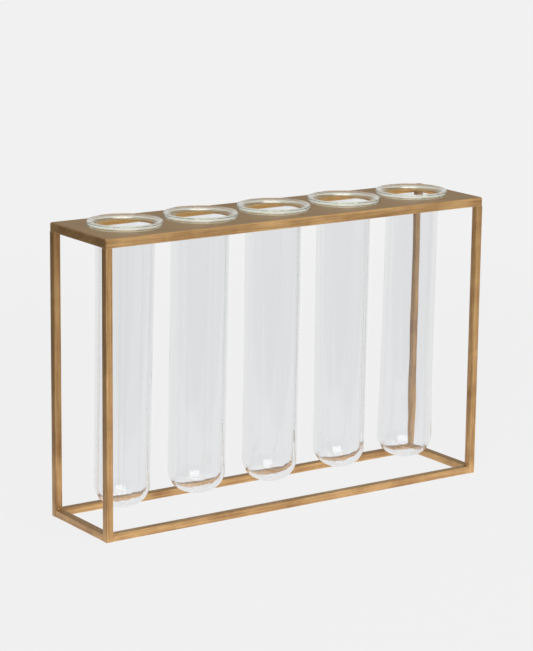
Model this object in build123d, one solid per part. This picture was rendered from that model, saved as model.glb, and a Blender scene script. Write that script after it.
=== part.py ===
"""Row of glass test tubes hung by their rims in a slim welded metal stand.

Millimetres, +Z up, +X along the row of tubes, -Y the front.
The origin is on the table, below the middle of the stand.
"""

from build123d import *
import os

# Glass tubes
tube_count = 5
tube_length = 190.0
tube_diameter = 36.0
tube_wall = 2.2
rim_overhang = 6.5
rim_height = 3.6
neck_height = 6.2
neck_flare = 3.5
neck_wall = 1.3

# Closed end of a tube: a round end pressed to a flattened dome, thinnest in its middle
end_press = 3.0
end_thickness = 1.5
end_flattening = 1.2

# Room round the tubes
rim_spacing = 8.5
tray_margin = 10.5
floor_gap = 9.6
hole_clearance = 2.2
neck_gap = 0.3

# Folded tray
sheet = 0.8
bend_inside = 0.4
flange_depth = 6.0

# Square bar of the posts and rails, and the fillet welds that join it
bar = 5.0
bar_edge = 0.4
weld_leg = 1.5
weld_crown = 0.12

# Sizes that follow
tube_radius = tube_diameter / 2
bore_radius = tube_radius - tube_wall
end_height = tube_radius - end_press
bowl_height = bore_radius - end_press
rim_radius = tube_radius + rim_overhang
hole_radius = tube_radius + hole_clearance
neck_radius = hole_radius - neck_gap
mouth_radius = neck_radius - neck_wall
bead_radius = rim_height / 2
lip_round = rim_radius - bead_radius - mouth_radius
bend_outside = bend_inside + sheet
tube_pitch = 2 * rim_radius + rim_spacing
half_length = tube_pitch * (tube_count - 1) / 2 + rim_radius + tray_margin
half_width = rim_radius + tray_margin
tray_top = floor_gap + tube_length - rim_height
tray_bottom = tray_top - flange_depth
neck_bottom = tray_top - neck_height
spigot_top = tray_top - sheet - bend_inside
first_tube = -tube_pitch * (tube_count - 1) / 2
tube_places = [first_tube + i * tube_pitch for i in range(tube_count)]


def block(low, high):
    """Box between two opposite corners."""
    size = [b - a for a, b in zip(low, high)]
    return Pos(*low) * Box(*size, align=(Align.MIN, Align.MIN, Align.MIN))


def rounded_block(inset, top, bottom, radius):
    """Block as large as the stand less an inset, with its upright and top edges rounded."""
    x = half_length - inset
    y = half_width - inset
    body = block((-x, -y, bottom), (x, y, top))
    uprights = body.edges().filter_by(Axis.Z)
    top_edges = body.faces().sort_by(Axis.Z)[-1].edges()
    return fillet(uprights + top_edges, radius)


def top_tray():
    """Sheet folded down on all four sides, with a punched hole for each tube."""
    tray = rounded_block(0, tray_top, tray_bottom, bend_outside)
    tray -= rounded_block(sheet, tray_top - sheet, tray_bottom - sheet, bend_inside)
    for x in tube_places:
        tray -= Pos(x, 0, tray_top) * Cylinder(hole_radius, 4 * sheet)
    return tray


def post():
    """Post of the back right corner. Its top is cut back on the two outer sides to a spigot
    inside the tray, so that the flanges stand on its shoulder, flush with the bar."""
    inner = (half_length - bar, half_width - bar)
    outer = (half_length, half_width)
    stock = block((*inner, 0), (*outer, spigot_top))
    stock = fillet(stock.edges().filter_by(Axis.Z), bar_edge)
    end_step = block((half_length - sheet, inner[1], tray_bottom), (*outer, spigot_top))
    side_step = block((inner[0], half_width - sheet, tray_bottom), (*outer, spigot_top))
    stock = stock - end_step - side_step
    tray_corner = (half_length - sheet, half_width - sheet, (tray_bottom + spigot_top) / 2)
    spigot_edge = stock.edges().sort_by_distance(tray_corner)[0]
    return fillet(spigot_edge, bend_inside)


def rail(length):
    """Square bar along X, on the table and centred on the origin."""
    stock = Box(length, bar, bar, align=(Align.CENTER, Align.CENTER, Align.MIN))
    return fillet(stock.edges().filter_by(Axis.X), bar_edge)


def weld_bead(root, leg, run, length):
    """Fillet weld from its root point, with one leg along leg, run being its length's direction."""
    middle = weld_leg / 2 + weld_crown
    crown = ThreePointArc((weld_leg, 0), (middle, middle), (0, weld_leg))
    section = make_face([Line((0, 0), (weld_leg, 0)), crown, Line((0, weld_leg), (0, 0))])
    return extrude(Plane(root, x_dir=leg, z_dir=run) * section, length)


def base_weld():
    """Beads of the back right corner at the table: on top of each rail, and between the rails."""
    inner_x = half_length - bar
    inner_y = half_width - bar
    length = bar - 2 * bar_edge
    return [
        weld_bead((inner_x, inner_y + bar_edge, bar), (-1, 0, 0), (0, 1, 0), length),
        weld_bead((half_length - bar_edge, inner_y, bar), (0, -1, 0), (-1, 0, 0), length),
        weld_bead((inner_x, inner_y, bar_edge), (-1, 0, 0), (0, 0, 1), length),
    ]


def top_weld():
    """Beads of the back right corner inside the tray, where each flange meets the spigot."""
    end_root = (half_length - sheet, half_width - bar, tray_bottom)
    side_root = (half_length - bar, half_width - sheet, tray_bottom)
    length = spigot_top - tray_bottom
    return [weld_bead(root, (-1, 0, 0), (0, 0, 1), length) for root in (end_root, side_root)]


def dome(radius, height, bottom):
    """Half outline of a flattened dome, from the wall to the axis: a knuckle arc tangent to the
    wall, then a wider crown arc tangent to the knuckle and square to the axis."""
    knuckle = height - end_flattening
    inset = radius - knuckle
    crown = (inset**2 + height**2 - knuckle**2) / (2 * end_flattening)
    reach = knuckle / (crown - knuckle)
    start = (radius, bottom + height)
    meeting = (inset * (1 + reach), bottom + height + (height - crown) * reach)
    knuckle_arc = TangentArc(start, meeting, tangent=(0, -1))
    crown_arc = TangentArc(meeting, (0, bottom), tangent=knuckle_arc % 1)
    return [knuckle_arc, crown_arc]


def ogee(start, end, heading):
    """S curve between two upright walls, up or down: two arcs that meet halfway."""
    middle = ((start[0] + end[0]) / 2, (start[1] + end[1]) / 2)
    first = TangentArc(start, middle, tangent=(0, heading))
    return [first, TangentArc(middle, end, tangent=first % 1)]


def glass_tube():
    """Blown tube with a thin domed end. Its neck widens to fill the tray's hole, and its mouth opens
    like a bell to a rolled rim that rests on the tray. The half outline is turned round the axis."""
    lip = tray_top + rim_height
    bead_x = rim_radius - bead_radius
    flare_bottom = neck_bottom - neck_flare
    wall = [(tube_radius, floor_gap + end_height), (tube_radius, flare_bottom)]
    neck = [(neck_radius, neck_bottom), (neck_radius, tray_top)]
    mouth = [(mouth_radius, lip - lip_round), (mouth_radius, neck_bottom)]
    bowl_bottom = floor_gap + end_thickness
    bore = [(bore_radius, flare_bottom), (bore_radius, bowl_bottom + bowl_height)]
    outline = [
        *dome(tube_radius, end_height, floor_gap),
        Line(*wall),
        *ogee(wall[1], neck[0], 1),
        Line(*neck),
        Line(neck[1], (bead_x, tray_top)),
        TangentArc((bead_x, tray_top), (bead_x, lip), tangent=(1, 0)),
        TangentArc((bead_x, lip), mouth[0], tangent=(-1, 0)),
        Line(*mouth),
        *ogee(mouth[1], bore[0], -1),
        Line(*bore),
        *dome(bore_radius, bowl_height, bowl_bottom),
        Line((0, bowl_bottom), (0, floor_gap)),
    ]
    return revolve(Plane.XZ * make_face(outline), Axis.Z)


def to_corner(pieces, name):
    """Pieces of the back right corner, mirrored to the corner that the name gives."""
    if "left" in name:
        pieces = [mirror(piece, Plane.YZ).solid() for piece in pieces]
    if "front" in name:
        pieces = [mirror(piece, Plane.XZ).solid() for piece in pieces]
    return pieces


nodes = {"top_tray": [top_tray()]}
for corner in ("front_left", "front_right", "back_left", "back_right"):
    nodes[corner + "_post"] = to_corner([post()], corner)
    nodes[corner + "_top_weld"] = to_corner(top_weld(), corner)
    nodes[corner + "_base_weld"] = to_corner(base_weld(), corner)

long_rail = rail(2 * (half_length - bar))
side_rail = Rot(Z=90) * rail(2 * (half_width - bar))
rail_y = half_width - bar / 2
rail_x = half_length - bar / 2
nodes["front_rail"] = [Pos(0, -rail_y, 0) * long_rail]
nodes["back_rail"] = [Pos(0, rail_y, 0) * long_rail]
nodes["left_rail"] = [Pos(-rail_x, 0, 0) * side_rail]
nodes["right_rail"] = [Pos(rail_x, 0, 0) * side_rail]

tube = glass_tube()
for number, x in enumerate(tube_places, start=1):
    nodes[f"tube_{number}"] = [Pos(x, 0, 0) * tube]

os.makedirs("parts", exist_ok=True)
for name, solids in nodes.items():
    shape = solids[0] if len(solids) == 1 else Compound(solids)
    export_step(shape, f"parts/{name}.step")
    print(name, round(sum(solid.volume for solid in solids), 1), "mm3")
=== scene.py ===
# %% [markdown]
# # A row of glass test tubes in a slim gold stand
# Five glass tubes hang by their rims in a folded metal tray, which four posts and four rails carry.
# The sizes come from a CAD model that is already finished. This lesson dresses that model: it keeps the
# sheet and the bars, gives them an antique gold finish, and makes the glass and the weld beads anew with
# the small unevenness of things made by hand. Every length is in metres, Z is up and the row runs along X.

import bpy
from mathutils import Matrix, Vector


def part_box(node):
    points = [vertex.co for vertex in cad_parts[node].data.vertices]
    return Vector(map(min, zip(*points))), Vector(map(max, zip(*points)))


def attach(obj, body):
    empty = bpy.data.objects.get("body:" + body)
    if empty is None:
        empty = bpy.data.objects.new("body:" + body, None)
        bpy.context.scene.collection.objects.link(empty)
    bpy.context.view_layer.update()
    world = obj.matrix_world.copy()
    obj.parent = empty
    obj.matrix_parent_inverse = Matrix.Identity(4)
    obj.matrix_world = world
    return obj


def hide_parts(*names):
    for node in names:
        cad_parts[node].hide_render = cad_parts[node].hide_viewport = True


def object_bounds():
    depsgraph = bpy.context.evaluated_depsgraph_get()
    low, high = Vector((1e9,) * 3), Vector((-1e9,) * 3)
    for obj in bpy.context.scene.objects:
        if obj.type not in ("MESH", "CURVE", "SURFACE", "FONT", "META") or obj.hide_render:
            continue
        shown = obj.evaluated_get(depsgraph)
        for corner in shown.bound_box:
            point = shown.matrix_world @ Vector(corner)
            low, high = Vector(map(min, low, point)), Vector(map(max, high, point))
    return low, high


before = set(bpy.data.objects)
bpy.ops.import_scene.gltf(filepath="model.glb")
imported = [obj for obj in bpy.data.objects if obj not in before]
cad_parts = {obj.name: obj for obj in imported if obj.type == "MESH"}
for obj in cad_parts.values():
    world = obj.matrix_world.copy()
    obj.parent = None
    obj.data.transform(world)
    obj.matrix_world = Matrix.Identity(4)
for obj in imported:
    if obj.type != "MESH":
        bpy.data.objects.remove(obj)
cad_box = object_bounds()
print("pieces in the CAD model:", len(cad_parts))
print("CAD box:", [tuple(round(c, 4) for c in corner) for corner in cad_box])

# %% [markdown]
# ## The camera
# A picture of straight bars says where its camera stood: the bars' edges run to vanishing points, and those
# fix the lens and the three angles. The angles are turned one after the other, as on a tripod head: first
# the turn about the upright, then the tilt down, then the small roll about the line of sight.

# %% Place the camera
import math

import bpy
from mathutils import Matrix, Vector

scene = bpy.context.scene
picture_height = 651
focal_pixels = 2412.4
sensor = 36.0
camera_place = Vector((-0.8978, -1.2942, 0.4742))
turn_right = math.radians(34.61)
tilt_down = math.radians(12.78)
roll = math.radians(0.65)

camera_data = bpy.data.cameras.new("camera")
camera_data.sensor_width = sensor
camera_data.lens = sensor * focal_pixels / picture_height
camera = bpy.data.objects.new("camera", camera_data)
scene.collection.objects.link(camera)
head = Matrix.Rotation(-turn_right, 4, "Z") @ Matrix.Rotation(math.pi / 2 - tilt_down, 4, "X")
camera.matrix_world = Matrix.Translation(camera_place) @ head @ Matrix.Rotation(roll, 4, "Z")
scene.camera = camera
scene.view_settings.view_transform = "Standard"
print("lens:", round(camera_data.lens, 1), "mm")

# %% [markdown]
# ## Building nodes from a script
# Materials, the world and Geometry Nodes are all trees of nodes. One small helper adds a node, sets its
# options, and fills its inputs: a plain number is typed into the socket, and another node's output is linked
# to it. Colours are written as they look on a screen, from 0 to 255, and turned into Blender's linear light.

# %% Helpers for nodes and colours
def add(tree, kind, inputs=None, **options):
    """Adds a node and fills its inputs with numbers, or with the outputs of other nodes."""
    node = tree.nodes.new(kind)
    for name, value in options.items():
        setattr(node, name, value)
    for key, value in (inputs or {}).items():
        if isinstance(value, bpy.types.NodeSocket):
            tree.links.new(value, node.inputs[key])
        else:
            node.inputs[key].default_value = value
    return node


def maths(tree, operation, *values):
    """Output of a Math node."""
    return add(tree, "ShaderNodeMath", dict(enumerate(values)), operation=operation).outputs[0]


def screen_colour(red, green, blue):
    """Linear colour of a screen colour from 0 to 255."""
    shares = [c / 255 for c in (red, green, blue)]
    linear = [s / 12.92 if s <= 0.04045 else ((s + 0.055) / 1.055) ** 2.4 for s in shares]
    return (*linear, 1.0)


def mix_colours(tree, factor, first, second):
    """Output of a Mix node that blends two colours."""
    return add(tree, "ShaderNodeMix", {0: factor, 6: first, 7: second}, data_type="RGBA").outputs[2]


paper = screen_colour(241, 241, 241)
print("paper in linear light:", round(paper[0], 3))

# %% [markdown]
# ## The paper floor
# The object stands on pale paper with hardly a shadow. A floor that is only lit would be brighter near the
# lamps, so most of what the camera sees of it is its own even colour, and a small share is light that fell
# on it, which keeps the soft shadow. The Light Path node says which kind of ray asks for the floor's colour.
# The blurred mirror of a gold bar finds a pool of light round the object that fades towards the left.
# Clear glass finds an even pale level, but where it mirrors the floor in front it finds a darker one, and
# that draws soft columns down the tubes. Light for the bars' lower sides comes from a glow near the object.

# %% Make the floor
floor_size = 16.0
floor_drop = 0.0001
shadow_share = 0.05
shadow_reach = (0.3, 1.1)
pool_reach = (0.15, 0.9)
pool_middle = 1.4
pool_edge = 0.25
left_reach = (-0.32, -0.14)
left_shade = 0.2
bounce_reach = (0.10, 0.50)
bounce = 0.55
front_reach = (-0.25, -0.17)
front_in_glass = 0.50
back_in_glass = 0.93
floor_in_glass = 0.91


def fade(tree, value, reach, near, far):
    """Number that goes smoothly from its near to its far value over a reach."""
    inputs = {"Value": value, "From Min": reach[0], "From Max": reach[1], "To Min": near, "To Max": far}
    return add(tree, "ShaderNodeMapRange", inputs, interpolation_type="SMOOTHSTEP").outputs[0]


def new_material(name):
    """Empty material and its output node."""
    material = bpy.data.materials.new(name)
    material.use_nodes = True
    material.node_tree.nodes.clear()
    return material, material.node_tree, add(material.node_tree, "ShaderNodeOutputMaterial")


paper_material, tree, output = new_material("paper_floor")
path = add(tree, "ShaderNodeLightPath").outputs
place = add(tree, "ShaderNodeTexCoord").outputs["Object"]
away = add(tree, "ShaderNodeVectorMath", {0: place}, operation="LENGTH").outputs["Value"]
spot = add(tree, "ShaderNodeSeparateXYZ", {0: place}).outputs
left_side = fade(tree, spot["X"], left_reach, left_shade, 1.0)
pool = maths(tree, "MULTIPLY", fade(tree, away, pool_reach, pool_middle, pool_edge), left_side)
card_level = maths(tree, "MULTIPLY", fade(tree, away, bounce_reach, bounce, 0.0), left_side)
turned_back = maths(tree, "MINIMUM", path["Glossy Depth"], 1.0)
front = fade(tree, spot["Y"], front_reach, front_in_glass, floor_in_glass)
in_glass = add(tree, "ShaderNodeMix", {0: turned_back, 2: floor_in_glass, 3: front}).outputs[0]
mirrored = add(tree, "ShaderNodeMix", {0: path["Is Singular Ray"], 2: pool, 3: in_glass}).outputs[0]
strength = add(tree, "ShaderNodeMix", {0: path["Is Glossy Ray"], 2: 1.0, 3: mirrored}).outputs[0]
shadowed = fade(tree, away, shadow_reach, shadow_share, 0.0)
lit = add(tree, "ShaderNodeBsdfDiffuse", {"Color": paper})
glow = add(tree, "ShaderNodeEmission", {"Color": paper, "Strength": strength})
seen = add(tree, "ShaderNodeMixShader", {0: shadowed, 1: glow.outputs[0], 2: lit.outputs[0]})
direct = maths(tree, "MAXIMUM", path["Is Camera Ray"], path["Is Glossy Ray"])
direct = maths(tree, "MAXIMUM", direct, path["Is Transmission Ray"])
card = add(tree, "ShaderNodeEmission", {"Color": paper, "Strength": card_level})
lighting = add(tree, "ShaderNodeAddShader", {0: lit.outputs[0], 1: card.outputs[0]})
both = add(tree, "ShaderNodeMixShader", {0: direct, 1: lighting.outputs[0], 2: seen.outputs[0]})
tree.links.new(both.outputs[0], output.inputs["Surface"])

floor_mesh = bpy.data.meshes.new("floor")
half = floor_size / 2
floor_corners = [(-half, -half, 0), (half, -half, 0), (half, half, 0), (-half, half, 0)]
floor_mesh.from_pydata(floor_corners, [], [(0, 1, 2, 3)])
floor = bpy.data.objects.new("floor", floor_mesh)
floor.location.z = -floor_drop
floor_mesh.materials.append(paper_material)
scene.collection.objects.link(floor)
print("floor:", floor_size, "m square")

# %% [markdown]
# ## The studio
# Two soft lamps and a dim room light the object. The large lamp hangs high above the camera, and it is the
# white window that shines in the bottom of every tube. The other one stands to the right and lights the
# fronts of the bars. It is hidden from mirrors, or it would be a second window in the glass. Gold needs
# something to mirror as well: it sees dim walls under a brighter ceiling, and a dark side on the left, so
# that the left faces of the stand are the darkest. The camera sees only the colour of the paper. A ray can
# bounce many times inside a tube before it gets out, and too low a limit leaves black wedges in the rims.

# %% Light the studio
room_light = 0.23
wall_on_gold = 0.25
ceiling_on_gold = 0.55
ceiling_reach = (0.10, 0.55)
shade_reach = (-0.6, 0.2)
bounce_limit = 128

world = bpy.data.worlds.new("studio")
scene.world = world
world.use_nodes = True
tree = world.node_tree
tree.nodes.clear()
path = add(tree, "ShaderNodeLightPath").outputs
direction = add(tree, "ShaderNodeTexCoord").outputs["Generated"]
parts = add(tree, "ShaderNodeSeparateXYZ", {0: direction}).outputs
on_gold = fade(tree, parts["Z"], ceiling_reach, wall_on_gold, ceiling_on_gold)
turned_back = maths(tree, "MINIMUM", path["Glossy Depth"], 1.0)
front = fade(tree, parts["Y"], front_reach, front_in_glass * paper[0], back_in_glass * paper[0])
walls = add(tree, "ShaderNodeMix", {0: turned_back, 2: back_in_glass * paper[0], 3: front}).outputs[0]
level = add(tree, "ShaderNodeMix", {0: path["Is Glossy Ray"], 2: room_light, 3: on_gold}).outputs[0]
level = maths(tree, "MULTIPLY", level, fade(tree, parts["X"], shade_reach, left_shade, 1.0))
level = add(tree, "ShaderNodeMix", {0: path["Is Singular Ray"], 2: level, 3: walls}).outputs[0]
level = add(tree, "ShaderNodeMix", {0: path["Is Camera Ray"], 2: level, 3: paper[0]}).outputs[0]
background = add(tree, "ShaderNodeBackground", {"Color": (1, 1, 1, 1), "Strength": level})
output = add(tree, "ShaderNodeOutputWorld", {"Surface": background.outputs[0]})


def soft_lamp(name, place, target, width, length, power):
    """Rectangular lamp that faces a target and that the camera doesn't see."""
    data = bpy.data.lights.new(name, "AREA")
    data.shape = "RECTANGLE"
    data.size = width
    data.size_y = length
    data.energy = power
    lamp = bpy.data.objects.new(name, data)
    lamp.location = place
    lamp.rotation_euler = (Vector(target) - Vector(place)).to_track_quat("-Z", "Y").to_euler()
    lamp.visible_camera = False
    scene.collection.objects.link(lamp)
    return lamp


middle = (cad_box[0] + cad_box[1]) / 2
scene.cycles.max_bounces = bounce_limit
scene.cycles.glossy_bounces = bounce_limit
scene.cycles.transmission_bounces = bounce_limit
soft_lamp("high_lamp", (-0.44, -0.96, 1.8), middle, 1.56, 2.1, 30.0)
front_lamp = soft_lamp("front_lamp", (0.9, -1.7, 0.7), middle, 1.2, 1.2, 18.0)
front_lamp.visible_glossy = False
front_lamp.visible_transmission = False

# %% [markdown]
# ## Streaks, clouds and grain in the gold
# The stand is drawn steel bar and folded sheet under a satin antique gold paint. Three scales of noise make
# such a finish: streaks along the bar from its drawing and brushing, clouds some centimetres across where the
# paint is thicker, and a fine grain that dulls the shine. A node group holds them once, and each material
# places it with its own stretch, so that the streaks run along that piece.

# %% Node group for the gold's unevenness
def new_group(name, inputs, outputs):
    """Empty shader node group with named sockets."""
    group = bpy.data.node_groups.new(name, "ShaderNodeTree")
    for label, kind, value in inputs:
        socket = group.interface.new_socket(label, in_out="INPUT", socket_type=kind)
        if value is not None:
            socket.default_value = value
    for label, kind in outputs:
        group.interface.new_socket(label, in_out="OUTPUT", socket_type=kind)
    return group, add(group, "NodeGroupInput").outputs, add(group, "NodeGroupOutput").inputs


number = "NodeSocketFloat"
vector = "NodeSocketVector"
streaks, given, result = new_group(
    "streaks_clouds_grain",
    [("Streak Vector", vector, None), ("Place", vector, None), ("Cloud Size", number, 0.03)],
    [("Streak", number), ("Cloud", number), ("Grain", number)],
)
grain_per_metre = 1800.0
streak_noise = add(
    streaks,
    "ShaderNodeTexNoise",
    {"Vector": given["Streak Vector"], "Scale": 1.0, "Detail": 5.0, "Roughness": 0.62},
)
cloud_scale = maths(streaks, "DIVIDE", 1.0, given["Cloud Size"])
cloud_noise = add(
    streaks,
    "ShaderNodeTexNoise",
    {"Vector": given["Place"], "Scale": cloud_scale, "Detail": 3.0, "Roughness": 0.55, "Distortion": 0.4},
)
grain_noise = add(
    streaks,
    "ShaderNodeTexNoise",
    {"Vector": given["Place"], "Scale": grain_per_metre, "Detail": 2.0, "Roughness": 0.6},
)
for label, noise in (("Streak", streak_noise), ("Cloud", cloud_noise), ("Grain", grain_noise)):
    spread = {"Value": noise.outputs["Fac"], "From Min": 0.3, "From Max": 0.7}
    streaks.links.new(add(streaks, "ShaderNodeMapRange", spread).outputs[0], result[label])
print("group:", streaks.name, [socket.name for socket in streaks.interface.items_tree])

# %% [markdown]
# ## Rubbed edges, dust and a painted sheen
# Paint thins on every edge that hands and cloths rub. Surfaces that face up are greyed, partly for settled
# dust and partly as a painted sheen of the pale room on them. The Bevel node gives the normal that an edge
# would have if it were rounder, and where that turns away from the true one there is an edge. The rounder
# normal also shades the piece, so that its edges catch a line of light. Which way a surface faces comes from
# the height of its normal.

# %% Node group for edges and film
wear_and_sheen, given, result = new_group(
    "rubbed_edges_dust_and_sheen",
    [("Edge Width", number, 0.0008), ("Patches", number, 0.5)],
    [("Edge", number), ("Dust And Sheen", number), ("Round Normal", vector)],
)
flat_normal = add(wear_and_sheen, "ShaderNodeNewGeometry").outputs["Normal"]
round_normal = add(wear_and_sheen, "ShaderNodeBevel", {"Radius": given["Edge Width"]}, samples=8).outputs[0]
wear_and_sheen.links.new(round_normal, result["Round Normal"])
agree = add(wear_and_sheen, "ShaderNodeVectorMath", {0: flat_normal, 1: round_normal}, operation="DOT_PRODUCT")
turned = maths(wear_and_sheen, "SUBTRACT", 1.0, agree.outputs["Value"])
edge = add(wear_and_sheen, "ShaderNodeMapRange", {"Value": turned, "From Min": 0.01, "From Max": 0.22}).outputs[0]
patches = {"Value": given["Patches"], "To Min": 0.45, "To Max": 1.0}
patchy = add(wear_and_sheen, "ShaderNodeMapRange", patches).outputs[0]
wear_and_sheen.links.new(maths(wear_and_sheen, "MULTIPLY", edge, patchy), result["Edge"])
# Faces that look up are greyed: settled dust, and a painted sheen of the pale room.
facing_up = add(wear_and_sheen, "ShaderNodeSeparateXYZ", {0: flat_normal}).outputs["Z"]
dust_and_sheen = add(wear_and_sheen, "ShaderNodeMapRange", {"Value": facing_up, "From Min": 0.5, "From Max": 0.95}).outputs[0]
wear_and_sheen.links.new(maths(wear_and_sheen, "MULTIPLY", dust_and_sheen, patchy), result["Dust And Sheen"])
print("group:", wear_and_sheen.name, [socket.name for socket in wear_and_sheen.interface.items_tree])

# %% [markdown]
# ## Antique gold
# The finish lies between paint and metal: it has the depth of a brown paint and the warm shine of gold
# flakes in it. One function makes the material for a direction of streaks, since a rail, a side rail and a
# post are brushed along X, Y and Z. Streaks and clouds choose between a deep and a light gold, dust and a
# painted sheen turn surfaces that face up to taupe, and rubbed edges come out paler. Inside the tray the gold
# is painted a brighter yellow, as painted light where little light reaches, and that shows through the mouths
# of the tubes.

# %% Gold for each direction, on the CAD pieces
deep_gold = screen_colour(128, 84, 42)
light_gold = screen_colour(221, 179, 121)
# Taupe of the faces that look up: settled dust and a painted sheen together.
dust_and_sheen_taupe = screen_colour(146, 120, 82)
rubbed_gold = screen_colour(226, 192, 140)
# A brighter yellow for the tray's inner faces: painted light in place of the bounce light that barely reaches
# them.
painted_bounce_gold = screen_colour(236, 188, 96)
streak_length = 0.045
streak_width = 0.0011
streak_weight = 0.55
cloud_size = 0.026
edge_width = 0.0009
edge_paleness = 0.55
dust_and_sheen_cover = 0.85
sheet = 0.0008


def gold_material(name, along, hidden_side=None):
    """Antique gold with its streaks along the axis of that number, and painted light where its hidden side
    is.
    """
    material, tree, output = new_material(name)
    place = add(tree, "ShaderNodeTexCoord").outputs["Object"]
    stretch = [1 / streak_width] * 3
    stretch[along] = 1 / streak_length
    streak_vector = add(tree, "ShaderNodeMapping", {"Vector": place, "Scale": stretch}).outputs[0]
    uneven = add(
        tree,
        "ShaderNodeGroup",
        {"Streak Vector": streak_vector, "Place": place, "Cloud Size": cloud_size},
        node_tree=streaks,
    ).outputs
    worn_inputs = {"Edge Width": edge_width, "Patches": uneven["Cloud"]}
    worn_and_sheen = add(tree, "ShaderNodeGroup", worn_inputs, node_tree=wear_and_sheen).outputs
    streak_part = maths(tree, "MULTIPLY", uneven["Streak"], streak_weight)
    cloud_part = maths(tree, "MULTIPLY", uneven["Cloud"], 1.0 - streak_weight)
    tone = maths(tree, "ADD", streak_part, cloud_part)
    gold = mix_colours(tree, tone, deep_gold, light_gold)
    # Up-facing faces turn taupe, for dust and as a painted sheen.
    with_dust_and_sheen = mix_colours(tree, maths(tree, "MULTIPLY", worn_and_sheen["Dust And Sheen"], dust_and_sheen_cover), gold, dust_and_sheen_taupe)
    rubbed = mix_colours(tree, maths(tree, "MULTIPLY", worn_and_sheen["Edge"], edge_paleness), with_dust_and_sheen, rubbed_gold)
    # Painted light: the tray's inner faces are painted a brighter yellow gold.
    if hidden_side:
        rubbed = mix_colours(tree, hidden_side(tree, place), rubbed, painted_bounce_gold)
    rough_range = {"Value": uneven["Grain"], "To Min": 0.40, "To Max": 0.56}
    rough = add(tree, "ShaderNodeMapRange", rough_range).outputs[0]
    relief = maths(tree, "ADD", maths(tree, "MULTIPLY", uneven["Streak"], 0.6), uneven["Grain"])
    bump = add(
        tree,
        "ShaderNodeBump",
        {"Strength": 0.35, "Distance": 0.00006, "Height": relief, "Normal": worn_and_sheen["Round Normal"]},
    )
    shader = add(
        tree,
        "ShaderNodeBsdfPrincipled",
        {
            "Base Color": rubbed,
            "Roughness": rough,
            "Normal": bump.outputs[0],
            "Metallic": 0.45,
            "Coat Weight": 0.12,
            "Coat Roughness": 0.35,
        },
    )
    tree.links.new(shader.outputs[0], output.inputs["Surface"])
    return material


def inside_tray(tree, place):
    """Mask of the tray's inner faces: those that lie deeper than half the sheet in all directions."""
    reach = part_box("top_tray")[1] - Vector((sheet / 2, sheet / 2, sheet / 2))
    spot = add(tree, "ShaderNodeSeparateXYZ", {0: place}).outputs
    within_x = maths(tree, "LESS_THAN", maths(tree, "ABSOLUTE", spot["X"]), reach.x)
    within_y = maths(tree, "LESS_THAN", maths(tree, "ABSOLUTE", spot["Y"]), reach.y)
    below = maths(tree, "LESS_THAN", spot["Z"], reach.z)
    return maths(tree, "MULTIPLY", maths(tree, "MULTIPLY", within_x, within_y), below)


# The tray's gold carries painted light on its inner faces.
tray_gold = gold_material("tray_gold", 0, inside_tray)
gold_along = [gold_material(f"antique_gold_along_{axis}", number) for number, axis in enumerate("xyz")]
for name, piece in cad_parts.items():
    if name in ("left_rail", "right_rail"):
        finish = gold_along[1]
    elif name.endswith("_post"):
        finish = gold_along[2]
    elif name.endswith("_rail"):
        finish = gold_along[0]
    elif name == "top_tray":
        finish = tray_gold
    else:
        continue
    for material_slot in piece.material_slots:
        material_slot.material = finish
print("gold materials:", [material.name for material in gold_along])

# %% [markdown]
# ## Weld beads
# Every corner of the stand is welded: small beads lie where the rails meet the posts, and where the posts
# stand inside the folded tray. A bead is a row of frozen drops, so it swells and narrows as it runs. Geometry
# Nodes suit it, because all beads follow one rule along their own short lines: each line becomes a curve, the
# curve's radius ripples along it, and a round section is swept down it. The metal hides its buried half.

# %% Geometry Nodes tree for a rippled bead
def new_tree(name, inputs):
    """Empty Geometry Nodes tree with a mesh going in and out, and its inputs' identifiers by name."""
    tree = bpy.data.node_groups.new(name, "GeometryNodeTree")
    tree.interface.new_socket("Mesh", in_out="INPUT", socket_type="NodeSocketGeometry")
    identifiers = {}
    for label, kind in inputs:
        identifiers[label] = tree.interface.new_socket(label, in_out="INPUT", socket_type=kind).identifier
    tree.interface.new_socket("Mesh", in_out="OUTPUT", socket_type="NodeSocketGeometry")
    return tree, add(tree, "NodeGroupInput").outputs, add(tree, "NodeGroupOutput").inputs, identifiers


material_socket = "NodeSocketMaterial"
bead_tree, given, result, bead_inputs = new_tree(
    "weld_bead",
    [
        ("Radius", number),
        ("Drop Length", number),
        ("Ripple", number),
        ("Seed", number),
        ("Finish", material_socket),
    ],
)
lines = add(bead_tree, "GeometryNodeMeshToCurve", {0: given["Mesh"]}).outputs[0]
step = maths(bead_tree, "DIVIDE", given["Drop Length"], 6.0)
fine = add(bead_tree, "GeometryNodeResampleCurve", {"Curve": lines, "Length": step}, mode="LENGTH").outputs[0]
run = add(bead_tree, "GeometryNodeSplineParameter").outputs
drop = maths(bead_tree, "FRACT", maths(bead_tree, "DIVIDE", run["Length"], given["Drop Length"]))
swell = maths(bead_tree, "SINE", maths(bead_tree, "MULTIPLY", drop, math.pi))
uneven = add(
    bead_tree,
    "ShaderNodeTexNoise",
    {"W": given["Seed"], "Scale": 900.0, "Detail": 1.0},
    noise_dimensions="4D",
).outputs["Fac"]
ripple = maths(bead_tree, "MULTIPLY", maths(bead_tree, "ADD", swell, uneven), given["Ripple"])
to_end = maths(bead_tree, "MULTIPLY", run["Factor"], maths(bead_tree, "SUBTRACT", 1.0, run["Factor"]))
taper = maths(bead_tree, "POWER", maths(bead_tree, "MULTIPLY", to_end, 4.0), 0.22)
thick = maths(bead_tree, "MULTIPLY", maths(bead_tree, "SUBTRACT", 1.0, ripple), taper)
radius = maths(bead_tree, "MAXIMUM", maths(bead_tree, "MULTIPLY", thick, given["Radius"]), 0.00005)
section = add(bead_tree, "GeometryNodeCurvePrimitiveCircle", {"Resolution": 14, "Radius": 1.0}).outputs[0]
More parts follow.
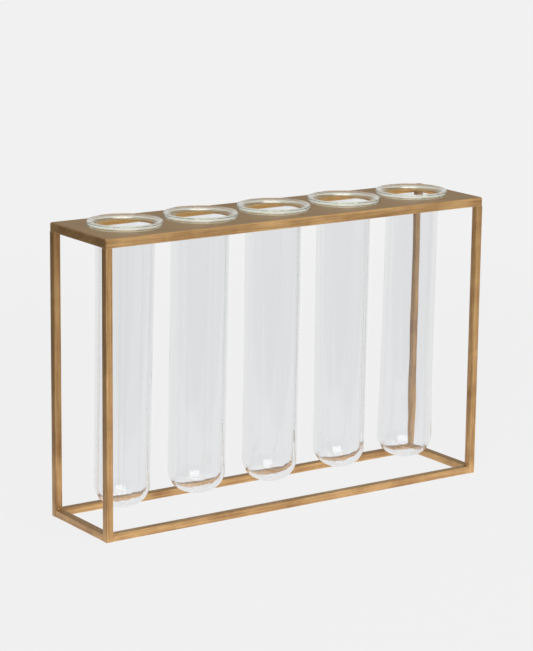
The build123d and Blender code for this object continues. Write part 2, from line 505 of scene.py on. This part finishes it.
swept = add(
    bead_tree,
    "GeometryNodeCurveToMesh",
    {"Curve": fine, "Profile Curve": section, "Scale": radius, "Fill Caps": True},
).outputs[0]
smooth = add(bead_tree, "GeometryNodeSetShadeSmooth", {0: swept}).outputs[0]
whole = add(bead_tree, "GeometryNodeRealizeInstances", {0: smooth}).outputs[0]
finished = add(bead_tree, "GeometryNodeSetMaterial", {0: whole, "Material": given["Finish"]}).outputs[0]
bead_tree.links.new(finished, result[0])
print("tree:", bead_tree.name, list(bead_inputs))

# %% [markdown]
# ## Where the beads run
# The lines are read off the CAD boxes. At the table a bead lies on each rail against its post, and one more
# fills the upright corner between the two rails. Under the tray a bead runs up each side of a post's top,
# inside the flange. Each line is set a little out of its corner, so the bead bulges from it.

# %% Make the beads
def plain_piece(source, name):
    """Turns an object with a Geometry Nodes modifier into a plain mesh object, and removes the source."""
    evaluated = source.evaluated_get(bpy.context.evaluated_depsgraph_get())
    mesh = bpy.data.meshes.new_from_object(evaluated)
    bpy.data.objects.remove(source)
    mesh.name = name
    piece = bpy.data.objects.new(name, mesh)
    scene.collection.objects.link(piece)
    return piece


def node_source(name, vertices, edges, tree, identifiers, values):
    """Wire object whose Geometry Nodes modifier has its inputs set before it is first evaluated."""
    mesh = bpy.data.meshes.new(name)
    mesh.from_pydata(vertices, edges, [])
    source = bpy.data.objects.new(name, mesh)
    modifier = source.modifiers.new(tree.name, "NODES")
    modifier.node_group = tree
    for label, value in values.items():
        modifier[identifiers[label]] = value
    scene.collection.objects.link(source)
    return source


weld_material = gold_material("weld_gold", 2)
corners = ("front_left", "front_right", "back_left", "back_right")
bead_radius = 0.00115
bead_out = 0.00045
bead_end = 0.0004
drop_length = 0.0009
ripple_share = 0.16
rail_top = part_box("front_rail")[1].z
flange_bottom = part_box("top_tray")[0].z
bead_points = []
for corner in corners:
    low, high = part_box(corner + "_post")
    side_x = 1 if "right" in corner else -1
    side_y = 1 if "back" in corner else -1
    inner_x, outer_x = (low.x, high.x) if side_x > 0 else (high.x, low.x)
    inner_y, outer_y = (low.y, high.y) if side_y > 0 else (high.y, low.y)
    out_x = inner_x - side_x * bead_out
    out_y = inner_y - side_y * bead_out
    on_rail = rail_top + bead_out
    flange_x = outer_x - side_x * (sheet + bead_out)
    flange_y = outer_y - side_y * (sheet + bead_out)
    bead_points += [
        ((out_x, inner_y + side_y * bead_end, on_rail), (out_x, outer_y - side_y * bead_end, on_rail)),
        ((inner_x + side_x * bead_end, out_y, on_rail), (outer_x - side_x * bead_end, out_y, on_rail)),
        ((out_x, out_y, bead_end), (out_x, out_y, rail_top - bead_end)),
        ((flange_x, out_y, flange_bottom + bead_end), (flange_x, out_y, high.z)),
        ((out_x, flange_y, flange_bottom + bead_end), (out_x, flange_y, high.z)),
    ]
bead_source = node_source(
    "bead_lines",
    [point for line in bead_points for point in line],
    [(2 * i, 2 * i + 1) for i in range(len(bead_points))],
    bead_tree,
    bead_inputs,
    {
        "Radius": bead_radius,
        "Drop Length": drop_length,
        "Ripple": ripple_share,
        "Seed": 3.0,
        "Finish": weld_material,
    },
)
welds = plain_piece(bead_source, "weld_beads")
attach(welds, "stand")
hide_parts(*[f"{corner}_{place}_weld" for corner in corners for place in ("top", "base")])
print("beads:", len(bead_points), "with", len(welds.data.polygons), "faces")

# %% [markdown]
# ## Clear glass
# Soda glass is colourless in a thin wall and green where it is thick, as in a rim seen edge on. A Volume
# Absorption inside the closed mesh does just that, since it darkens a ray by the length it travels in the
# glass. A lip of a few millimetres is too short a way for that to show, so from the tray up the surface takes
# a grey green tint as well. Every time a ray crosses the lip it is tinted again, which draws the fine darker
# lines round the mouth. The walls have faint lines along the tube, which a stretched noise gives as a very
# low bump.

# %% Glass material
clear = (0.987, 0.992, 1.0, 1)
thick_rim = (0.88, 0.885, 0.83, 1)
thick_glass = (0.95, 0.97, 0.945, 1)
glass_density = 28.0
line_scale = (420.0, 420.0, 7.0)
line_depth = 0.00002
tint_fade = 0.0005
tray_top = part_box("top_tray")[1].z
glass, tree, output = new_material("clear_glass")
place = add(tree, "ShaderNodeTexCoord").outputs["Object"]
draw_lines = add(tree, "ShaderNodeMapping", {"Vector": place, "Scale": line_scale}).outputs[0]
lines = add(tree, "ShaderNodeGroup", {"Streak Vector": draw_lines, "Place": place}, node_tree=streaks).outputs
bump = add(tree, "ShaderNodeBump", {"Strength": 0.03, "Distance": line_depth, "Height": lines["Streak"]})
height = add(tree, "ShaderNodeSeparateXYZ", {0: place}).outputs["Z"]
on_rim = fade(tree, height, (tray_top - tint_fade, tray_top), 0.0, 1.0)
shader = add(
    tree,
    "ShaderNodeBsdfPrincipled",
    {
        "Base Color": mix_colours(tree, on_rim, clear, thick_rim),
        "Roughness": 0.0,
        "IOR": 1.5,
        "Transmission Weight": 1.0,
        "Normal": bump.outputs[0],
    },
)
inside = add(tree, "ShaderNodeVolumeAbsorption", {"Color": thick_glass, "Density": glass_density})
tree.links.new(shader.outputs[0], output.inputs["Surface"])
tree.links.new(inside.outputs[0], output.inputs["Volume"])
print("glass:", glass.name)

# %% [markdown]
# ## The shape of a tube
# A tube is a turned shape: one half outline, spun about the axis. The outline goes from the middle of the
# thin domed end up the outer wall, and out through a short flare to the neck that fills the hole in the tray.
# There it opens like a bell to a lip that rolls over and down to the tray, with a small hollow below, and
# then it goes down the inside again. The hollow makes the lip's look: light that enters the lip from above
# is thrown back by it, so the lip shines white, with thin darker lines along its edges. The points are close
# together where the outline bends and far apart along the walls, which are a little wider or narrower at
# three heights.

# %% Half outline of a tube
tube_low, tube_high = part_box("tube_1")
rim_radius = (tube_high.x - tube_low.x) / 2
lip = tube_high.z
tube_bottom = tube_low.z
tube_radius = 0.018
middle_height = 0.064
wall = 0.0022
end_height = 0.0150
end_thickness = 0.0015
end_flattening = 0.0012
neck_reach = 0.0019
neck_height = 0.0062
neck_flare = 0.0035
neck_wall = 0.0013
lip_foot = 0.0006
lip_hollow = 0.0023
crest_inset = 0.0008
bell_depth = 0.0036
seat_gap = 0.00004


def arc(centre, reach, rise, start, end, steps):
    """Points of an elliptical arc between two angles in degrees, without the first point."""
    points = []
    for i in range(1, steps + 1):
        angle = math.radians(start + (end - start) * i / steps)
        points.append((centre[0] + reach * math.cos(angle), centre[1] + rise * math.sin(angle)))
    return points


def straight(start, end, steps):
    """Points of a straight run, without the first point."""
    return [tuple(a + (b - a) * i / steps for a, b in zip(start, end)) for i in range(1, steps + 1)]


def flare(start, end, steps):
    """Points of a smooth S from one upright wall to a wider one, without the first point."""
    points = []
    for i in range(1, steps + 1):
        share = i / steps
        across = share * share * (3 - 2 * share)
        points.append((start[0] + (end[0] - start[0]) * across, start[1] + (end[1] - start[1]) * share))
    return points


def dome(radius, height, bottom, crown_steps, knuckle_steps):
    """Flattened dome from its middle out to the wall: a wide crown arc, then a tighter knuckle arc."""
    knuckle = height - end_flattening
    inset = radius - knuckle
    crown = (inset**2 + height**2 - knuckle**2) / (2 * end_flattening)
    meeting = math.degrees(math.atan2(height - crown, inset))
    points = [(0.0, bottom)]
    points += arc((0, bottom + crown), crown, crown, -90, meeting, crown_steps)
    points += arc((inset, bottom + height), knuckle, knuckle, meeting, 0, knuckle_steps)
    return points


def tube_outline(radii, short):
    """Half outline of a tube from its radius low down, in the middle and high up, in three runs of points."""
    low_radius, middle_radius, high_radius = radii
    seat = tray_top + seat_gap
    foot_x = rim_radius - lip_foot
    crest_x = rim_radius - crest_inset
    neck_x = tube_radius + neck_reach
    neck_z = seat - neck_height
    mouth_x = neck_x - neck_wall
    outside = dome(low_radius, end_height, tube_bottom + short, 12, 22)
    outside += flare(outside[-1], (middle_radius, middle_height), 16)
    outside += flare(outside[-1], (high_radius, neck_z - neck_flare), 24)
    outside += flare(outside[-1], (neck_x, neck_z), 14)
    outside += straight(outside[-1], (neck_x, seat), 6)
    rim = arc(((neck_x + foot_x) / 2, seat), (foot_x - neck_x) / 2, lip_hollow, 180, 0, 16)
    rim += arc((foot_x, seat + lip_foot), lip_foot, lip_foot, -90, 0, 8)
    rim += arc((crest_x, lip - crest_inset), crest_inset, crest_inset, 0, 90, 12)
    rim += arc((crest_x, lip - bell_depth), crest_x - mouth_x, bell_depth, 90, 180, 18)
    bowl = dome(low_radius - wall, end_height - wall, tube_bottom + short + end_thickness, 12, 22)
    inside = straight(rim[-1], (mouth_x, neck_z), 8)
    inside += flare(inside[-1], (high_radius - wall, neck_z - neck_flare), 14)
    inside += flare(inside[-1], (middle_radius - wall, middle_height), 24)
    inside += flare(inside[-1], bowl[-1], 16)
    inside += bowl[-2::-1]
    return outside, rim, inside


outline = tube_outline((tube_radius, tube_radius, tube_radius), 0.0)
print("points in the outline:", [len(run) for run in outline])

# %% [markdown]
# ## Geometry Nodes tree for a tube
# The tree spins an outline with the unevenness in it. A grid has one column for each step round the tube
# and one row for each point of the outline. Set Position moves every grid point to its outline point, turned
# by its column's angle. Noise read on a cylinder closes on itself, so there is no seam, and merging the
# points that meet at the seam and at the two poles makes the glass one closed skin.

# %% Build the tree
tube_tree, given, result, tube_inputs = new_tree(
    "turned_tube",
    [
        ("Steps Round", "NodeSocketInt"),
        ("Axis X", number),
        ("Lean", vector),
        ("Body Shift", vector),
        ("Top", number),
        ("Wave Depth", number),
        ("Lump Depth", number),
        ("Seed", number),
        ("Finish", material_socket),
    ],
)


def at_row(tree, mesh, row, kind, value):
    """Value of the outline's point of that row."""
    inputs = {0: mesh, "Value": value, "Index": row}
    return add(tree, "GeometryNodeSampleIndex", inputs, data_type=kind).outputs[0]


def combine(tree, x, y, z):
    """Vector of three numbers."""
    return add(tree, "ShaderNodeCombineXYZ", {0: x, 1: y, 2: z}).outputs[0]


def scaled(tree, value, factor):
    """Vector times a number."""
    return add(tree, "ShaderNodeVectorMath", {0: value, "Scale": factor}, operation="SCALE").outputs[0]


def centred_noise(tree, place, seed, scale):
    """Noise about zero, between -1 and 1."""
    noise = add(
        tree,
        "ShaderNodeTexNoise",
        {"Vector": place, "W": seed, "Scale": scale, "Detail": 1.5},
        noise_dimensions="4D",
    )
    return add(tree, "ShaderNodeMapRange", {0: noise.outputs["Fac"], 3: -1.0, 4: 1.0}).outputs[0]


rows = add(tube_tree, "GeometryNodeAttributeDomainSize", {0: given["Mesh"]}).outputs["Point Count"]
columns = maths(tube_tree, "ADD", given["Steps Round"], 1.0)
grid = add(tube_tree, "GeometryNodeMeshGrid", {0: 1.0, 1: 1.0, 2: columns, 3: rows}).outputs[0]
grid_place = add(tube_tree, "GeometryNodeInputPosition").outputs[0]
spot = add(tube_tree, "ShaderNodeSeparateXYZ", {0: grid_place}).outputs
angle = maths(tube_tree, "MULTIPLY", maths(tube_tree, "ADD", spot["X"], 0.5), 2 * math.pi)
last_row = maths(tube_tree, "SUBTRACT", rows, 1.0)
up_grid = maths(tube_tree, "ADD", spot["Y"], 0.5)
row = maths(tube_tree, "ROUND", maths(tube_tree, "MULTIPLY", up_grid, last_row))
outline_place = add(tube_tree, "GeometryNodeInputPosition").outputs[0]
point = at_row(tube_tree, given["Mesh"], row, "FLOAT_VECTOR", outline_place)
point = add(tube_tree, "ShaderNodeSeparateXYZ", {0: point}).outputs
share = {}
for label in ("outer_wave", "inner_wave", "rim_lump", "in_body"):
    stored = add(tube_tree, "GeometryNodeInputNamedAttribute", {"Name": label}, data_type="FLOAT").outputs[0]
    share[label] = at_row(tube_tree, given["Mesh"], row, "FLOAT", stored)

cosine = maths(tube_tree, "COSINE", angle)
sine = maths(tube_tree, "SINE", angle)
outward = combine(tube_tree, cosine, sine, 0.0)
on_cylinder = scaled(tube_tree, outward, tube_radius)
slow = combine(tube_tree, 0.0, 0.0, maths(tube_tree, "MULTIPLY", point["Z"], 0.45))
wave_place = add(tube_tree, "ShaderNodeVectorMath", {0: on_cylinder, 1: slow}).outputs[0]
inner_seed = maths(tube_tree, "ADD", given["Seed"], 17.0)
outer_noise = centred_noise(tube_tree, wave_place, given["Seed"], 45.0)
outer_wave = maths(tube_tree, "MULTIPLY", outer_noise, share["outer_wave"])
inner_noise = centred_noise(tube_tree, wave_place, inner_seed, 70.0)
inner_wave = maths(tube_tree, "MULTIPLY", inner_noise, share["inner_wave"])
wave = maths(tube_tree, "MULTIPLY", maths(tube_tree, "ADD", outer_wave, inner_wave), given["Wave Depth"])
lump_noise = maths(tube_tree, "ABSOLUTE", centred_noise(tube_tree, on_cylinder, given["Seed"], 210.0))
lump = maths(tube_tree, "MULTIPLY", lump_noise, share["rim_lump"])
lump = maths(tube_tree, "MULTIPLY", lump, given["Lump Depth"])
waved = maths(tube_tree, "ADD", point["X"], wave)
turned = scaled(tube_tree, outward, maths(tube_tree, "SUBTRACT", waved, lump))
raised = combine(tube_tree, given["Axis X"], 0.0, maths(tube_tree, "SUBTRACT", point["Z"], lump))
leant = scaled(tube_tree, given["Lean"], maths(tube_tree, "SUBTRACT", given["Top"], point["Z"]))
moved = add(tube_tree, "ShaderNodeVectorMath", {0: turned, 1: raised}).outputs[0]
moved = add(tube_tree, "ShaderNodeVectorMath", {0: moved, 1: leant}).outputs[0]
off_axis = scaled(tube_tree, given["Body Shift"], share["in_body"])
moved = add(tube_tree, "ShaderNodeVectorMath", {0: moved, 1: off_axis}).outputs[0]
shaped = add(tube_tree, "GeometryNodeSetPosition", {"Geometry": grid, "Position": moved}).outputs[0]
closed = add(tube_tree, "GeometryNodeMergeByDistance", {"Geometry": shaped, "Distance": 0.000001}).outputs[0]
smooth = add(tube_tree, "GeometryNodeSetShadeSmooth", {0: closed}).outputs[0]
whole = add(tube_tree, "GeometryNodeRealizeInstances", {0: smooth}).outputs[0]
finished = add(tube_tree, "GeometryNodeSetMaterial", {0: whole, "Material": given["Finish"]}).outputs[0]
tube_tree.links.new(finished, result[0])
print("tree:", tube_tree.name, list(tube_inputs))

# %% [markdown]
# ## Five tubes that differ a little
# Tubes blown by hand differ by about a millimetre in width and length, and each one hangs a little askew in
# its hole. Widths and length go into the outline. The lean goes into the tree, as a sideways shift for each
# unit of height below the tray, and so does a body that was blown off the centre of its rim. The points of
# the outline carry their shares of unevenness as attributes: slow waves in both walls, and lumps in the lip
# and in the bowl of the closed end. The tubes throw no shadow, since clear glass lets most light through.

# %% Make the tubes
import bmesh

steps_round = 160
wave_depth = 0.00012
lump_depth = 0.00035
lump_start = 0.4
bowl_lump = 0.8
bowl_wave = 1.8
bowl_reach = (0.045, 0.02)
# Radii low, middle and high, shortness, lean and shift of the body
tube_facts = {
    "tube_1": ((0.01825, 0.01830, 0.01890), 0.0005, (-0.0155, 0.0040, 0.0), (0.0005, 0.0, 0.0)),
    "tube_2": ((0.01910, 0.01895, 0.01900), 0.0012, (-0.0102, 0.0040, 0.0), (-0.0003, 0.0, 0.0)),
    "tube_3": ((0.01835, 0.01840, 0.01850), 0.0, (-0.0059, 0.0015, 0.0), (0.0001, 0.0, 0.0)),
    "tube_4": ((0.01760, 0.01760, 0.01810), 0.0010, (-0.0031, 0.0010, 0.0), (0.0, 0.0, 0.0)),
    "tube_5": ((0.01915, 0.01810, 0.01780), 0.0, (-0.0105, 0.0035, 0.0), (0.0013, 0.0, 0.0)),
}


def swelling(count):
    """Shares that rise from none at one end of a run of points and fall to none at the other."""
    return [math.sin(math.pi * i / (count - 1)) ** 0.5 if 0 < i < count - 1 else 0.0 for i in range(count)]


def share_below(z, start, end):
    """Share that rises smoothly from none at one height to all at a lower one."""
    step = min(1.0, max(0.0, (start - z) / (start - end)))
    return step * step * (3 - 2 * step)


for count, (node, (radii, short, lean, body_shift)) in enumerate(tube_facts.items(), start=1):
    outside, rim, inside = tube_outline(radii, short)
    points = [(x, 0.0, z) for x, z in outside + rim + inside]
    edges = [(i, i + 1) for i in range(len(points) - 1)]
    low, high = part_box(node)
    source = node_source(
        "outline_" + node,
        points,
        edges,
        tube_tree,
        tube_inputs,
        {
            "Steps Round": steps_round,
            "Axis X": (low.x + high.x) / 2,
            "Lean": lean,
            "Body Shift": body_shift,
            "Top": tray_top,
            "Wave Depth": wave_depth,
            "Lump Depth": lump_depth,
            "Seed": 5.0 * count,
            "Finish": glass,
        },
    )
    up_rim = [(z - tray_top) / (lip - tray_top) for _, z in rim]
    rim_lumps = [max(0.0, up - lump_start) / (1 - lump_start) for up in up_rim]
    neck_z = tray_top - neck_height
    bowl_count = sum(1 for _, z in inside if z < tube_bottom + end_height)
    in_bowl = [0.0] * (len(inside) - bowl_count) + [bowl_lump * share for share in swelling(bowl_count)]
    bowl_waves = [1.0 + bowl_wave * share_below(z, *bowl_reach) for _, z in inside]
    inner_waves = [a * b for a, b in zip(swelling(len(inside)), bowl_waves)]
    shares = {
        "in_body": [share_below(z, neck_z, neck_z - neck_flare) for _, _, z in points],
        "outer_wave": swelling(len(outside)) + [0.0] * (len(rim) + len(inside)),
        "rim_lump": [0.0] * len(outside) + rim_lumps + in_bowl,
        "inner_wave": [0.0] * (len(outside) + len(rim)) + inner_waves,
    }
    for label, values in shares.items():
        source.data.attributes.new(label, "FLOAT", "POINT").data.foreach_set("value", values)
    tube = plain_piece(source, f"glass_{node}")
    skin = bmesh.new()
    skin.from_mesh(tube.data)
    bmesh.ops.recalc_face_normals(skin, faces=skin.faces)
    if skin.calc_volume(signed=True) < 0:
        bmesh.ops.reverse_faces(skin, faces=skin.faces)
    open_edges = sum(1 for edge in skin.edges if len(edge.link_faces) != 2)
    print(tube.name, "volume", round(skin.calc_volume() * 1e6, 1), "ml, open edges", open_edges)
    skin.to_mesh(tube.data)
    skin.free()
    tube.visible_shadow = False
    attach(tube, node)
    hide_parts(node)
